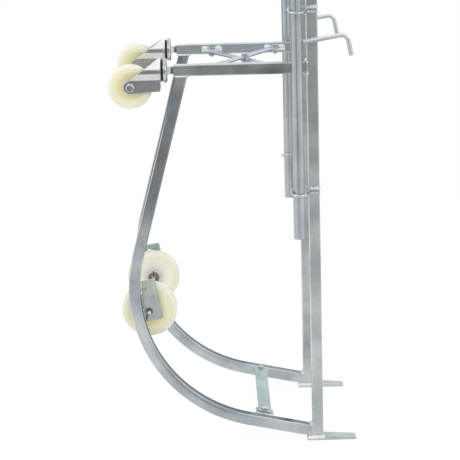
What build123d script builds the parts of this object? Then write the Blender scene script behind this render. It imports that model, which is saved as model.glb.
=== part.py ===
"""Tilting drum cradle: two welded side frames, bolted cross braces, wheels, swivel casters and a sliding handle.

Millimetres.  +X points at the drum, +Y to the far side frame, +Z up.  The cradle stands on its toe plates, with
the origin on the floor below the middle of its outline.  The near side is drawn, and the far side mirrors it.
"""
import os
from math import acos, atan2, cos, degrees, radians, sin, tan

from build123d import *

os.makedirs("parts", exist_ok=True)

# Fits
weld_gap = 0.1  # between a welded piece and the face that carries it
running_fit = 0.08  # radial play of a shaft in its bore
press_fit = 0.02  # radial room of a pressed bush or plug
turn_gap = 0.4  # side play of a turning piece
slide_gap = 1.0  # radial play of the handle tube in its guide loops
hole_play = 0.5  # radial play of a bolt in its hole

# Square tube of the side frames
tube = 25.0
tube_wall = 1.5
tube_corner = 2.5
frame_spacing = 364.0  # between the middle planes of the two side frames

# Toe plate under each upright
toe_thickness = 8.0
toe_width = 32.0
toe_heel = 12.0  # behind the upright
toe_reach = 74.0  # ahead of the upright, under the drum
toe_land = 6.0  # flat stretch ahead of the upright, before the taper
toe_tip = 3.0  # thickness at the tip

# Top bar, and the bent rocker from the upright's foot to the bar
bar_top = 866.0
bar_overhang = 3.7  # of the bar's rear end past the rocker
run_angle = 12.2  # slope of the rocker's lower run
run_length = 146.5
bend_radius = 315.0  # to the middle of the tube
lean_angle = 15.2  # of the rocker's upper run, from the vertical
bend_dent = 2.2  # how far the bend draws in the tube's inner wall
bend_ridge = 3.0  # width of the ridges that stay beside the dent

# Rim hook, bent from round bar
hook_rod = 10.0
hook_lift = 44.0  # of its rear end above the top bar
hook_tail = 7.0  # rear end behind the upright
hook_reach = 63.0  # bend ahead of the upright
hook_rise = 15.0  # bend above the rear end
hook_drop = 46.0  # tip below the bend
hook_flare = 9.0  # tip ahead of the bend
hook_bend = 14.0

# Sliding handle and its guide loops
handle_tube = 25.0
handle_wall = 2.0
handle_gap = 10.5  # between the tube and the upright
handle_tail = 99.0  # below the lower loop
handle_rise = 117.0  # cross tube above the uprights' ends
handle_bend = 70.0
loop_wire = 6.0
loop_lift = 110.0  # upper loop above the top bar
loop_pitch = 399.0
loop_step = 10.0  # between a loop's two legs
loop_kink = 8.0  # bend radius where the front leg meets the upright
upright_head = 54.0  # upright above the upper loop
cap_thickness = 3.0
cap_depth = 15.0
cap_round = 1.5
rest_thickness = 6.0
rest_rim = 5.0  # of the rest plate round the handle tube
rest_gap = 0.5

# Main wheels and their brackets
wheel_diameter = 125.0
wheel_tread = 34.0
wheel_round = 10.0
wheel_rim = 18.0  # depth of the rim
wheel_dish = 9.0  # width of the slope from the rim to the web
wheel_soft = 18.0  # rounding of that slope's edges
wheel_web = 28.0
wheel_hub = 36.0  # hub diameter
wheel_blend = 3.5  # rounding between hub and web
wheel_hub_round = 2.0
wheel_hub_length = 44.0
wheel_bush = 26.0
axle = 12.0
axle_end = 9.0  # diameter of its turned-down ends
axle_step = 0.5  # of the full diameter past the bracket
axle_inset = 13.1  # from the rocker's inner edge
axle_angle = 10.4  # below the middle of the bend
axle_tail = 10.0  # past the bracket and past the inner washer
axle_chamfer = 1.0
washer_thickness = 2.5
washer_diameter = 26.0
pin_rod = 2.5
pin_reach = 18.0  # end of the split pin from the middle of the axle
pin_wrap = 115.0  # of each leg round the axle
pin_angle = 25.0  # of the outer split pin, from the vertical
bracket_thickness = 5.0
bracket_lap = 10.6  # on the rocker's inner face
bracket_foot = 21.0  # below the axle
bracket_head = 72.0  # above the axle
bracket_round = 2.0
spare_hole_pitch = 55.5  # second axle position
lip_length = 10.0
lip_clear = 1.5  # lip's bend beyond the wheel's hub
lip_angle = 35.0

# Swivel casters on the ends of the top bars
plug_depth = 22.0
cone_length = 6.0
cone_large = 19.0
cone_small = 13.0
stem = 10.0
lock_nut = 17.0  # across the flats
lock_nut_height = 8.0
head_diameter = 54.0
head_thickness = 8.5
head_dome = 4.5  # rounding towards the bar
head_round = 1.0
race_diameter = 46.0
race_thickness = 4.6
crown_diameter = 54.0
crown_thickness = 6.0
crown_lip = 2.0  # of the crown past the fork's sides
crown_round = 1.0
rivet_diameter = 18.0
rivet_height = 4.5
caster_reach = 67.4  # axle from the face of the crown
caster_trail = 32.5  # axle off the swivel axis
caster_diameter = 96.0
caster_tread = 30.0
caster_round = 7.0
caster_rim = 16.0
caster_dish = 7.0  # width of the slope from the rim to the web
caster_soft = 12.0  # rounding of that slope's edges
caster_web = 25.0
caster_hub = 28.0
caster_blend = 3.0  # rounding between hub and web
caster_hub_round = 1.5
caster_hub_length = 38.0
caster_bush = 15.0
caster_axle = 10.0
fork_wall = 2.5
fork_clear = 0.8  # between the wheel's sides and the fork's arch
fork_head = 26.0  # arch above the swivel axis
fork_flare = 13.0  # height of the flare between arch and legs
fork_band = 9.0  # upright part of the arch, above the flare
fork_ridge = 6.0  # half the width of the arch's top
fork_soft = 8.0  # rounding of the arch
fork_flat = 1.0  # of the legs above the wheel's hub
fork_shoulder = 1.0  # level stretch of the fork's upper edge
fork_rise = 3.5  # of the legs' lower edge, from the eye to the crown
fork_eye = 13.5  # radius round the axle
axle_nut = 17.0
axle_nut_height = 6.0
axle_head_height = 6.4
nut_collar = 14.5  # diameter of the lock nut's collar
collar_height = 3.5
collar_round = 1.2
collar_sink = 1.2  # of the bolt's end in the collar

# Bolted cross members
tab_thickness = 4.0
tab_reach = 36.0  # inward from the frame
tab_width = 48.0
tab_level = 1.5  # top of the brace tabs above the bar's middle
bolt_inset = 20.0  # from the frame to the bolt
brace_front = 80.0  # bolt behind the uprights' drum side
brace_rear = 230.0
strip_width = 25.0
strip_thickness = 3.0
strap_place = 112.0  # along the rocker's lower run
strap_tab_width = 40.0
strap_width = 30.0
strap_end = 13.0  # past the bolt
bolt = 8.0
bolt_head = 13.0  # across the flats
bolt_head_height = 5.3
bolt_nut_height = 6.5
bolt_end = 3.0  # past the nut
spacer_diameter = 18.0

# Places that follow from the sizes.  The rocker's are measured back from the upright, and give the bar its length.
half = frame_spacing / 2
tube_bore = tube - 2 * tube_wall
run_slope = radians(run_angle)
lean = radians(lean_angle)
foot_z = toe_thickness + tube / 2 / cos(run_slope)
bend_z = foot_z + run_length * sin(run_slope) + bend_radius * cos(run_slope)
bend_depth = run_length * cos(run_slope) - bend_radius * sin(run_slope)
lean_length = (bar_top - tube - bend_z - bend_radius * sin(lean)) / cos(lean)
rocker_depth = bend_depth + bend_radius * cos(lean) - lean_length * sin(lean)
bar_length = rocker_depth + tube / 2 / cos(lean) + bar_overhang
head_at = cone_length + lock_nut_height
race_at = head_at + head_thickness
crown_at = race_at + race_thickness + turn_gap
axle_at = crown_at + caster_reach

# The outline's middle is the origin
back_reach = tube + bar_length + axle_at + caster_diameter / 2
hook_tip = Vector(hook_flare, -hook_drop).normalized()
front_reach = max(toe_reach, hook_reach + hook_flare - hook_rod / 2 * hook_tip.Y)
face_x = (back_reach - front_reach) / 2
back_x = face_x - tube
upright_x = face_x - tube / 2
bar_end = back_x - bar_length
bar_z = bar_top - tube / 2
outer_face = half + tube / 2
inner_face = half - tube / 2
loop_z = bar_top + loop_lift
upright_top = loop_z + upright_head

# Rocker: lower run, bend and upper run
bend_middle = Vector(back_x - bend_depth, -half, bend_z)
bend_start = bend_middle - Vector(sin(run_slope), 0, cos(run_slope)) * bend_radius
bend_end = bend_middle + Vector(-cos(lean), 0, sin(lean)) * bend_radius
bend_turn = 90 - run_angle + lean_angle
dent_half = tube / 2 - bend_ridge
dent_radius = (dent_half**2 + bend_dent**2) / (2 * bend_dent)
run_plane = Plane(bend_start, x_dir=(0, 1, 0), z_dir=(cos(run_slope), 0, -sin(run_slope)))
lean_plane = Plane(bend_end, x_dir=(0, 1, 0), z_dir=(sin(lean), 0, cos(lean)))

# Main wheel, on a stub axle square to the frame
axle_slope = radians(axle_angle)
radial = Vector(cos(axle_slope), 0, sin(axle_slope))
axle_middle = bend_middle - radial * (bend_radius - tube / 2 - axle_inset)
hub_outer = inner_face - bracket_thickness - washer_thickness - turn_gap
wheel_y = hub_outer - wheel_hub_length / 2
hub_inner = hub_outer - wheel_hub_length - turn_gap
outer_pin_y = inner_face + axle_tail / 2
inner_pin_y = hub_inner - washer_thickness - pin_rod / 2 - running_fit
bracket_flat = wheel_hub / 2 + lip_clear
bracket_plane = Plane((axle_middle.X, -inner_face, axle_middle.Z), x_dir=radial, z_dir=(0, -1, 0))


def across_flats(size):
    return size / 3**0.5


def tube_profile():
    RectangleRounded(tube, tube, tube_corner)
    Rectangle(tube_bore, tube_bore, mode=Mode.SUBTRACT)


def axle_plane(y):
    return Plane((axle_middle.X, -y, axle_middle.Z), z_dir=(0, -1, 0), x_dir=(1, 0, 0))


def stem_plane(reach):
    return Plane((bar_end - reach, -half, bar_z), x_dir=(0, 1, 0), z_dir=(-1, 0, 0))


def wheel_points(radius, tread, rim, dish, web, hub, hub_length, bore):
    draft = (hub_length - web) / 10
    half_points = [
        (bore, hub_length / 2),
        (hub, hub_length / 2),
        (hub + draft, web / 2),
        (radius - rim - dish, web / 2),
        (radius - rim, tread / 2),
        (radius, tread / 2),
    ]
    return half_points + [(r, -w) for r, w in reversed(half_points)]


# Side frame

with BuildPart() as upright:
    with BuildSketch(Plane((upright_x, -half, toe_thickness))):
        tube_profile()
    extrude(amount=upright_top - toe_thickness)

with BuildPart() as upright_cap:
    with BuildSketch(Plane((upright_x, -half, upright_top))):
        RectangleRounded(tube, tube, tube_corner)
    extrude(amount=cap_thickness)
    fillet(edges().group_by(Axis.Z)[-1], cap_round)
    with BuildSketch(Plane((upright_x, -half, upright_top))):
        Rectangle(tube_bore - 2 * press_fit, tube_bore - 2 * press_fit)
    extrude(amount=-cap_depth)

with BuildPart() as top_bar:
    with BuildSketch(Plane((back_x, -half, bar_z), x_dir=(0, 1, 0), z_dir=(-1, 0, 0))):
        tube_profile()
    extrude(amount=bar_length)

# The bend draws in the tube's inner wall, and the straight runs keep their section.
with BuildPart() as rocker:
    with BuildSketch(run_plane):
        tube_profile()
    extrude(amount=run_length + tube)
    split(bisect_by=Plane.YZ.offset(back_x), keep=Keep.BOTTOM)
    with BuildSketch(lean_plane):
        tube_profile()
    extrude(amount=lean_length + tube)
    split(bisect_by=Plane.XY.offset(bar_top - tube), keep=Keep.BOTTOM)
    with BuildSketch(run_plane):
        RectangleRounded(tube, tube, tube_corner)
        with Locations((0, tube / 2 + dent_radius - bend_dent)):
            Circle(dent_radius, mode=Mode.SUBTRACT)
        with Locations((0, -bend_dent / 2)):
            Rectangle(tube_bore, tube_bore - bend_dent, mode=Mode.SUBTRACT)
    revolve(axis=Axis(bend_middle, (0, 1, 0)), revolution_arc=bend_turn)

with BuildPart() as toe_plate:
    with BuildSketch(Plane.XZ.offset(half + toe_width / 2)):
        with BuildLine():
            Polyline(
                (back_x - toe_heel, 0),
                (face_x + toe_reach, 0),
                (face_x + toe_reach, toe_tip),
                (face_x + toe_land, toe_thickness),
                (back_x - toe_heel, toe_thickness),
                close=True,
            )
        make_face()
    extrude(amount=-toe_width)

with BuildPart() as rim_hook:
    with BuildLine(Plane.XZ.offset(outer_face + weld_gap + hook_rod / 2)) as hook_path:
        FilletPolyline(
            (back_x - hook_tail, bar_top + hook_lift),
            (face_x + hook_reach, bar_top + hook_lift + hook_rise),
            (face_x + hook_reach + hook_flare, bar_top + hook_lift + hook_rise - hook_drop),
            radius=hook_bend,
        )
    with BuildSketch(Plane(hook_path.line @ 0, z_dir=hook_path.line % 0)):
        Circle(hook_rod / 2)
    sweep(path=hook_path.line)

# Handle: the guide loops are wire, welded on the upright's outer face round the tube.
handle_x = back_x - handle_gap - handle_tube / 2
loop_near = outer_face + weld_gap + loop_wire / 2
handle_y = loop_near + loop_wire / 2 + slide_gap + handle_tube / 2
loop_far = 2 * handle_y - loop_near
loop_half = handle_y - loop_near
loop_bend = loop_half - slide_gap
lower_loop_z = loop_z - loop_pitch

with BuildPart() as lower_loop:
    with BuildLine() as loop_path:
        FilletPolyline(
            (face_x, -loop_near, lower_loop_z + loop_step),
            (handle_x - loop_half, -loop_near, lower_loop_z + loop_step),
            (handle_x - loop_half, -loop_far, lower_loop_z),
            (handle_x + handle_tube / 2, -loop_far, lower_loop_z),
            (back_x, -loop_near, lower_loop_z),
            (face_x, -loop_near, lower_loop_z),
            radius=[loop_bend, loop_bend, loop_bend, loop_kink],
        )
    with BuildSketch(Plane(loop_path.line @ 0, z_dir=loop_path.line % 0)):
        Circle(loop_wire / 2)
    sweep(path=loop_path.line)

with BuildPart() as upper_loop:
    add(lower_loop.part.moved(Location((0, 0, loop_pitch))))

with BuildPart() as handle:
    handle_top = upright_top + handle_rise
    handle_bottom = lower_loop_z - handle_tail
    with BuildLine() as handle_path:
        FilletPolyline(
            (handle_x, -handle_y, handle_bottom),
            (handle_x, -handle_y, handle_top),
            (handle_x, handle_y, handle_top),
            (handle_x, handle_y, handle_bottom),
            radius=handle_bend,
        )
    with BuildSketch(Plane(handle_path.line @ 0, z_dir=handle_path.line % 0)):
        Circle(handle_tube / 2)
        Circle(handle_tube / 2 - handle_wall, mode=Mode.SUBTRACT)
    sweep(path=handle_path.line)

# Each rest plate is welded round the tube and sits on the upright's end, with the handle pushed down.
with BuildPart() as handle_rests:
    rest_z = upright_top + cap_thickness + rest_gap
    rest_span = Vector(upright_x - handle_x, handle_y - half, 0)
    rest_plane = Plane((handle_x, -handle_y, rest_z), x_dir=rest_span, z_dir=(0, 0, 1))
    with BuildSketch(rest_plane):
        with Locations((rest_span.length / 2, 0)):
            SlotCenterToCenter(rest_span.length, handle_tube + 2 * rest_rim)
        Circle(handle_tube / 2 + weld_gap, mode=Mode.SUBTRACT)
    extrude(amount=rest_thickness)
    mirror(about=Plane.XZ)

# Wheel bracket and main wheel

with BuildPart() as wheel_bracket:
    with BuildSketch(bracket_plane):
        with BuildLine():
            Polyline(
                (-axle_inset - bracket_lap, -bracket_foot),
                (bracket_flat, -bracket_foot),
                (bracket_flat, bracket_head),
                (-axle_inset - bracket_lap, bracket_head),
                close=True,
            )
        make_face()
        with Locations((0, 0), (0, spare_hole_pitch)):
            Circle(axle / 2 + running_fit, mode=Mode.SUBTRACT)
    extrude(amount=-bracket_thickness)
    lip_slope = radians(lip_angle)
    lip_end = bracket_plane.from_local_coords(Vector(bracket_flat, -bracket_foot, 0))
    with BuildSketch(Plane(lip_end, x_dir=radial, z_dir=bracket_plane.y_dir)):
        with BuildLine():
            Polyline(
                (0, 0),
                (lip_length * cos(lip_slope), lip_length * sin(lip_slope)),
                (
                    lip_length * cos(lip_slope) - bracket_thickness * sin(lip_slope),
                    lip_length * sin(lip_slope) + bracket_thickness * cos(lip_slope),
                ),
                (-bracket_thickness * tan(lip_slope / 2), bracket_thickness),
                close=True,
            )
        make_face()
    extrude(amount=bracket_foot + bracket_head)

with BuildPart() as wheel:
    with BuildSketch(Plane((axle_middle.X, -wheel_y, axle_middle.Z))):
        with BuildLine():
            Polyline(
                *wheel_points(
                    wheel_diameter / 2,
                    wheel_tread,
                    wheel_rim,
                    wheel_dish,
                    wheel_web,
                    wheel_hub / 2,
                    wheel_hub_length,
                    wheel_bush / 2 + press_fit,
                ),
                close=True,
            )
        make_face()
        fillet(vertices().group_by(Axis.X)[-1], wheel_round)
        fillet(vertices().group_by(Axis.X)[4], wheel_soft)
        fillet(vertices().group_by(Axis.X)[3], wheel_soft)
        fillet(vertices().group_by(Axis.X)[2], wheel_blend)
        fillet(vertices().group_by(Axis.X)[1], wheel_hub_round)
    revolve(axis=Axis((axle_middle.X, 0, axle_middle.Z), (0, 1, 0)))

with BuildPart() as wheel_bush_sleeve:
    with BuildSketch(axle_plane(hub_outer)):
        Circle(wheel_bush / 2)
        Circle(axle / 2 + running_fit, mode=Mode.SUBTRACT)
    extrude(amount=-wheel_hub_length)

with BuildPart() as wheel_axle:
    with BuildSketch(axle_plane(inner_face + axle_tail)):
        Circle(axle_end / 2)
    extrude(amount=-(inner_face + axle_tail - hub_inner + washer_thickness + axle_tail))
    chamfer(edges().filter_by(GeomType.CIRCLE), axle_chamfer)
    with BuildSketch(axle_plane(inner_face + axle_step)):
        Circle(axle / 2)
    extrude(amount=-(inner_face - hub_inner + washer_thickness))
    with BuildSketch(Plane((axle_middle.X, -outer_pin_y, axle_middle.Z)).rotated((0, pin_angle, 0))):
        Circle(pin_rod / 2 + running_fit)
    extrude(amount=axle, both=True, mode=Mode.SUBTRACT)
    with BuildSketch(Plane((axle_middle.X, -inner_pin_y, axle_middle.Z))):
        Circle(pin_rod / 2 + running_fit)
    extrude(amount=axle, both=True, mode=Mode.SUBTRACT)

with BuildPart() as axle_washers:
    for washer_face in (inner_face - bracket_thickness, hub_inner):
        with BuildSketch(axle_plane(washer_face)):
            Circle(washer_diameter / 2)
            Circle(axle / 2 + running_fit, mode=Mode.SUBTRACT)
        extrude(amount=-washer_thickness)

# A split pin goes through each end of the axle, with its two legs bent back round it.
with BuildPart() as split_pins:
    wrap_radius = axle_end / 2 + turn_gap + pin_rod / 2
    pin_planes = (
        Plane((axle_middle.X, -outer_pin_y, axle_middle.Z)).rotated((0, pin_angle, 0)),
        Plane((axle_middle.X, -inner_pin_y, axle_middle.Z)).rotated((0, 180, 0)),
    )
    for pin_plane in pin_planes:
        with BuildSketch(pin_plane.offset(-pin_reach)):
            Circle(pin_rod / 2)
        extrude(amount=pin_reach + wrap_radius)
        leg_plane = pin_plane.rotated((0, -pin_wrap, 0))
        with BuildSketch(Plane(leg_plane.origin, x_dir=leg_plane.z_dir, z_dir=leg_plane.x_dir)):
            with Locations((wrap_radius, 0)):
                Circle(pin_rod / 2)
        revolve(axis=Axis(pin_plane.origin, pin_plane.y_dir), revolution_arc=2 * pin_wrap)

# Caster: a plug in the bar's end takes the stem, and the fork turns on the stem below the ball race.

with BuildPart() as caster_plug:
    with BuildSketch(stem_plane(0)):
        Rectangle(tube_bore - 2 * press_fit, tube_bore - 2 * press_fit)
    extrude(amount=-plug_depth)
    with BuildSketch(stem_plane(0)):
        Circle(cone_large / 2)
    with BuildSketch(stem_plane(cone_length)):
        Circle(cone_small / 2)
    loft()
    with BuildSketch(stem_plane(cone_length)):
        Circle(stem / 2 + press_fit)
    extrude(amount=-cone_length - plug_depth, mode=Mode.SUBTRACT)

with BuildPart() as caster_stem:
    with BuildSketch(stem_plane(-plug_depth)):
        Circle(stem / 2)
    extrude(amount=plug_depth + crown_at + crown_thickness + turn_gap)
    with BuildSketch(stem_plane(crown_at + crown_thickness + turn_gap)):
        Circle(rivet_diameter / 2)
    extrude(amount=rivet_height)
    fillet(edges().group_by(Axis.X)[0], rivet_height / 2)

with BuildPart() as caster_lock_nut:
    with BuildSketch(stem_plane(cone_length)):
        RegularPolygon(across_flats(lock_nut), 6)
        Circle(stem / 2 + press_fit, mode=Mode.SUBTRACT)
    extrude(amount=lock_nut_height)

with BuildPart() as caster_head:
    with BuildSketch(stem_plane(head_at)):
        Circle(head_diameter / 2)
    extrude(amount=head_thickness)
    fillet(edges().group_by(Axis.X)[-1], head_dome)
    fillet(edges().group_by(Axis.X)[0], head_round)
    with BuildSketch(stem_plane(head_at)):
        Circle(stem / 2 + press_fit)
    extrude(amount=head_thickness, mode=Mode.SUBTRACT)

with BuildPart() as caster_race:
    with BuildSketch(stem_plane(race_at)):
        Circle(race_diameter / 2)
        Circle(stem / 2 + press_fit, mode=Mode.SUBTRACT)
    extrude(amount=race_thickness)

caster_x = bar_end - axle_at
caster_z = bar_z - caster_trail
fork_outer = caster_hub_length / 2 + turn_gap + fork_wall
arch_outer = caster_tread / 2 + fork_clear + fork_wall
leg_top = caster_hub / 2 + fork_flat
flare_top = leg_top + fork_flare
arch_z = flare_top + fork_band
arch_top = caster_trail + fork_head
side_reach = caster_reach - crown_lip
shoulder = Vector(caster_reach - crown_thickness - fork_shoulder, arch_top)
eye_turn = atan2(shoulder.Y, shoulder.X) + acos(fork_eye / shoulder.length)


def caster_plane(y):
    return Plane((caster_x, -half - y, caster_z), x_dir=(1, 0, 0), z_dir=(0, -1, 0))


# The fork is pressed from sheet: an arch that flares out into two legs, cut back along a slope that meets the eye
# round the axle.  Its crown is a round plate.
with BuildPart() as caster_fork:
    arch_plane = Plane((caster_x + side_reach, -half, caster_z), x_dir=(0, -1, 0), z_dir=(-1, 0, 0))
    with BuildSketch(arch_plane):
        for inset, mode in ((0, Mode.ADD), (fork_wall, Mode.SUBTRACT)):
            with BuildLine():
                Polyline(
                    (inset - arch_outer, flare_top),
                    (inset - fork_outer, leg_top),
                    (inset - fork_outer, -fork_eye - inset),
                    (fork_outer - inset, -fork_eye - inset),
                    (fork_outer - inset, leg_top),
                    (arch_outer - inset, flare_top),
                )
                FilletPolyline(
                    (inset - arch_outer, flare_top),
                    (inset - arch_outer, arch_z),
                    (inset / 2 - fork_ridge, arch_top - inset),
                    (fork_ridge - inset / 2, arch_top - inset),
                    (arch_outer - inset, arch_z),
                    (arch_outer - inset, flare_top),
                    radius=fork_soft - inset,
                )
            make_face(mode=mode)
    extrude(amount=side_reach + fork_eye)
    with BuildSketch(caster_plane(fork_outer)):
        with BuildLine():
            Polyline(
                (side_reach, fork_rise - fork_eye),
                (side_reach, shoulder.Y),
                shoulder,
                (fork_eye * cos(eye_turn), fork_eye * sin(eye_turn)),
                (0, -fork_eye),
                close=True,
            )
        make_face()
        Circle(fork_eye)
    extrude(amount=-2 * fork_outer, mode=Mode.INTERSECT)
    with BuildSketch(caster_plane(fork_outer)):
        Circle(caster_axle / 2 + press_fit)
    extrude(amount=-2 * fork_outer, mode=Mode.SUBTRACT)
    with BuildSketch(stem_plane(crown_at)):
        Circle(crown_diameter / 2)
        Circle(stem / 2 + running_fit, mode=Mode.SUBTRACT)
    extrude(amount=crown_thickness)
    fillet(edges().group_by(Axis.X)[-1].sort_by(SortBy.RADIUS)[-1], crown_round)

with BuildPart() as caster_wheel:
    with BuildSketch(Plane((caster_x, -half, caster_z))):
        with BuildLine():
            Polyline(
                *wheel_points(
                    caster_diameter / 2,
                    caster_tread,
                    caster_rim,
                    caster_dish,
                    caster_web,
                    caster_hub / 2,
                    caster_hub_length,
                    caster_bush / 2 + press_fit,
                ),
                close=True,
            )
        make_face()
        fillet(vertices().group_by(Axis.X)[-1], caster_round)
        fillet(vertices().group_by(Axis.X)[4], caster_soft)
        fillet(vertices().group_by(Axis.X)[3], caster_soft)
        fillet(vertices().group_by(Axis.X)[2], caster_blend)
        fillet(vertices().group_by(Axis.X)[1], caster_hub_round)
    revolve(axis=Axis((caster_x, 0, caster_z), (0, 1, 0)))

with BuildPart() as caster_bush_sleeve:
    with BuildSketch(caster_plane(caster_hub_length / 2)):
        Circle(caster_bush / 2)
        Circle(caster_axle / 2 + running_fit, mode=Mode.SUBTRACT)
    extrude(amount=-caster_hub_length)

with BuildPart() as caster_axle_bolt:
    with BuildSketch(caster_plane(-fork_outer)):
        RegularPolygon(across_flats(axle_nut), 6)
    extrude(amount=-axle_head_height)
    with BuildSketch(caster_plane(-fork_outer)):
        Circle(caster_axle / 2)
    extrude(amount=2 * fork_outer + axle_nut_height + collar_height - collar_sink)

with BuildPart() as caster_axle_nut:
    with BuildSketch(caster_plane(fork_outer)):
        RegularPolygon(across_flats(axle_nut), 6)
    extrude(amount=axle_nut_height)
    with BuildSketch(caster_plane(fork_outer + axle_nut_height)):
        Circle(nut_collar / 2)
    extrude(amount=collar_height)
    fillet(edges().group_by(Axis.Y)[0], collar_round)
    with BuildSketch(caster_plane(fork_outer)):
        Circle(caster_axle / 2 + press_fit)
    extrude(amount=axle_nut_height + collar_height, mode=Mode.SUBTRACT)

# Cross members: two crossed strips between the top bars, and a strap between the rockers' lower runs.
bolt_y = inner_face - bolt_inset
hole = bolt / 2 + hole_play
tab_z = bar_z + tab_level
rear_x = face_x - brace_rear
front_x = face_x - brace_front
cross_x = (rear_x + front_x) / 2
strip_span = Vector(front_x - rear_x, 2 * bolt_y)
strip_turn = degrees(atan2(strip_span.Y, strip_span.X))
strap_middle = Vector(back_x - strap_place * cos(run_slope), 0, foot_z + strap_place * sin(run_slope))
strap_level = Plane(
    strap_middle, x_dir=(cos(run_slope), 0, -sin(run_slope)), z_dir=(sin(run_slope), 0, cos(run_slope))
).offset(tube / 2)

with BuildPart() as brace_tabs:
    with BuildSketch(Plane.XY.offset(tab_z)):
        with Locations((rear_x, -inner_face), (front_x, -inner_face)):
            Rectangle(tab_width, tab_reach, align=(Align.CENTER, Align.MIN))
        with Locations((rear_x, -bolt_y), (front_x, -bolt_y)):
            Circle(hole, mode=Mode.SUBTRACT)
    extrude(amount=-tab_thickness)
    mirror(about=Plane.XZ)

with BuildPart() as brace_strip_upper:
    with BuildSketch(Plane.XY.offset(tab_z)):
        with Locations((cross_x, 0)):
            SlotCenterToCenter(strip_span.length, strip_width, rotation=strip_turn)
        with Locations((rear_x, -bolt_y), (cross_x, 0), (front_x, bolt_y)):
            Circle(hole, mode=Mode.SUBTRACT)
    extrude(amount=strip_thickness)

with BuildPart() as brace_strip_lower:
    with BuildSketch(Plane.XY.offset(tab_z - tab_thickness)):
        with Locations((cross_x, 0)):
            SlotCenterToCenter(strip_span.length, strip_width, rotation=-strip_turn)
        with Locations((rear_x, bolt_y), (cross_x, 0), (front_x, -bolt_y)):
            Circle(hole, mode=Mode.SUBTRACT)
    extrude(amount=-strip_thickness)

with BuildPart() as brace_spacer:
    with BuildSketch(Plane.XY.offset(tab_z)):
        with Locations((cross_x, 0)):
            Circle(spacer_diameter / 2)
            Circle(hole, mode=Mode.SUBTRACT)
    extrude(amount=-tab_thickness)

with BuildPart() as strap_tabs:
    with BuildSketch(strap_level):
        with Locations((0, -inner_face)):
            Rectangle(strap_tab_width, tab_reach, align=(Align.CENTER, Align.MIN))
        with Locations((0, -bolt_y)):
            Circle(hole, mode=Mode.SUBTRACT)
    extrude(amount=-tab_thickness)
    mirror(about=Plane.XZ)

with BuildPart() as lower_strap:
    with BuildSketch(strap_level):
        Rectangle(strap_width, 2 * (bolt_y + strap_end))
        with Locations((0, -bolt_y), (0, bolt_y)):
            Circle(hole, mode=Mode.SUBTRACT)
    extrude(amount=strip_thickness)

# Seat of each bolt head, and what lies between the head and the nut
over_strip = Plane.XY.offset(tab_z + strip_thickness)
over_tab = Plane.XY.offset(tab_z)
over_strap = strap_level.offset(strip_thickness)
bolt_seats = [
    (over_strip, (rear_x, -bolt_y), strip_thickness + tab_thickness),
    (over_strip, (front_x, bolt_y), strip_thickness + tab_thickness),
    (over_strip, (cross_x, 0), 2 * strip_thickness + tab_thickness),
    (over_tab, (rear_x, bolt_y), tab_thickness + strip_thickness),
    (over_tab, (front_x, -bolt_y), tab_thickness + strip_thickness),
    (over_strap, (0, -bolt_y), strip_thickness + tab_thickness),
    (over_strap, (0, bolt_y), strip_thickness + tab_thickness),
]

with BuildPart() as cross_bolts:
    for seat, place, grip in bolt_seats:
        with BuildSketch(seat):
            with Locations(place):
                RegularPolygon(across_flats(bolt_head), 6)
        extrude(amount=bolt_head_height)
        with BuildSketch(seat):
            with Locations(place):
                Circle(bolt / 2)
        extrude(amount=-(grip + bolt_nut_height + bolt_end))

with BuildPart() as cross_nuts:
    for seat, place, grip in bolt_seats:
        with BuildSketch(seat.offset(-grip)):
            with Locations(place):
                RegularPolygon(across_flats(bolt_head), 6)
                Circle(bolt / 2 + press_fit, mode=Mode.SUBTRACT)
        extrude(amount=-bolt_nut_height)

# The pieces on the middle line, then each side's pieces with their mirror images

shared_pieces = {
    "handle": handle,
    "handle_rests": handle_rests,
    "brace_tabs": brace_tabs,
    "brace_strip_upper": brace_strip_upper,
    "brace_strip_lower": brace_strip_lower,
    "brace_spacer": brace_spacer,
    "strap_tabs": strap_tabs,
    "lower_strap": lower_strap,
    "cross_bolts": cross_bolts,
    "cross_nuts": cross_nuts,
}
for label, piece in shared_pieces.items():
    piece.part.label = label
    export_step(piece.part, "parts/" + label + ".step")

side_pieces = {
    "upright": upright,
    "upright_cap": upright_cap,
    "top_bar": top_bar,
    "rocker": rocker,
    "toe_plate": toe_plate,
    "rim_hook": rim_hook,
    "lower_loop": lower_loop,
    "upper_loop": upper_loop,
    "wheel_bracket": wheel_bracket,
    "wheel": wheel,
    "wheel_bush": wheel_bush_sleeve,
    "wheel_axle": wheel_axle,
    "axle_washers": axle_washers,
    "split_pins": split_pins,
    "caster_plug": caster_plug,
    "caster_stem": caster_stem,
    "caster_lock_nut": caster_lock_nut,
    "caster_head": caster_head,
    "caster_race": caster_race,
    "caster_fork": caster_fork,
    "caster_wheel": caster_wheel,
    "caster_bush": caster_bush_sleeve,
    "caster_axle_bolt": caster_axle_bolt,
    "caster_axle_nut": caster_axle_nut,
}
for label, piece in side_pieces.items():
    piece.part.label = "near_" + label
    export_step(piece.part, "parts/near_" + label + ".step")
    with BuildPart() as far_piece:
        mirror(piece.part, about=Plane.XZ)
    far_piece.part.label = "far_" + label
    export_step(far_piece.part, "parts/far_" + label + ".step")
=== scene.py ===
import math

import bpy
from mathutils import Matrix, Vector


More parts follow.
